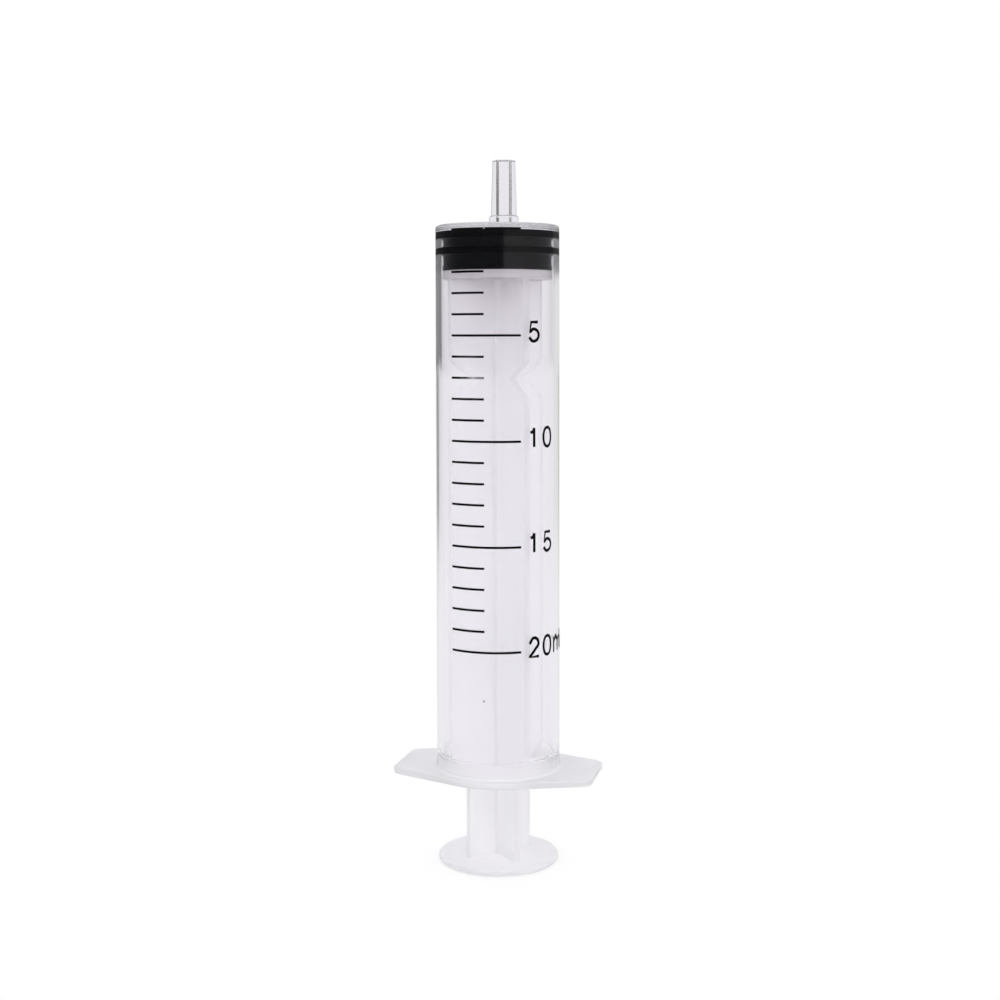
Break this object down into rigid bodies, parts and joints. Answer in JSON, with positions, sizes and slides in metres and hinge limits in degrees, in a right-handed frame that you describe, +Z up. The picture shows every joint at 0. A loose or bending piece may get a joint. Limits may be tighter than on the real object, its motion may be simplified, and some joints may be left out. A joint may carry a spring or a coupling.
{
  "type": "plastic syringe",
  "caption": "Clear graduated slip-tip syringe with an off-centre nozzle, winged finger flange, and a sliding ribbed plunger with a black rubber stopper.",
  "frame": {"origin": "centre of the thumb rest's underside, on the barrel's axis, with the plunger fully in", "axes": "+Z up the barrel's axis to the nozzle; +X along the finger flange's wings; the printed scale faces -Y and the nozzle is set off towards +Y"},
  "size_m": [0.0344, 0.0236, 0.12],
  "materials": {
    "barrel_plastic": "clear, glossy moulded polypropylene with a faint lavender-grey cast",
    "plunger_plastic": "milky, translucent moulded polypropylene",
    "stopper_rubber": "smooth black moulded rubber, slightly oiled",
    "scale_ink": "black printed ink"
  },
  "bodies": {
    "barrel": {"barrel": "barrel_plastic"},
    "plunger": {"plunger": "plunger_plastic", "stopper": "stopper_rubber"}
  },
  "joints": [
    {"name": "plunger_slide", "type": "slide", "parent": "barrel", "child": "plunger", "axis": [0, 0, -1], "range_m": [0, 0.0801]}
  ]
}
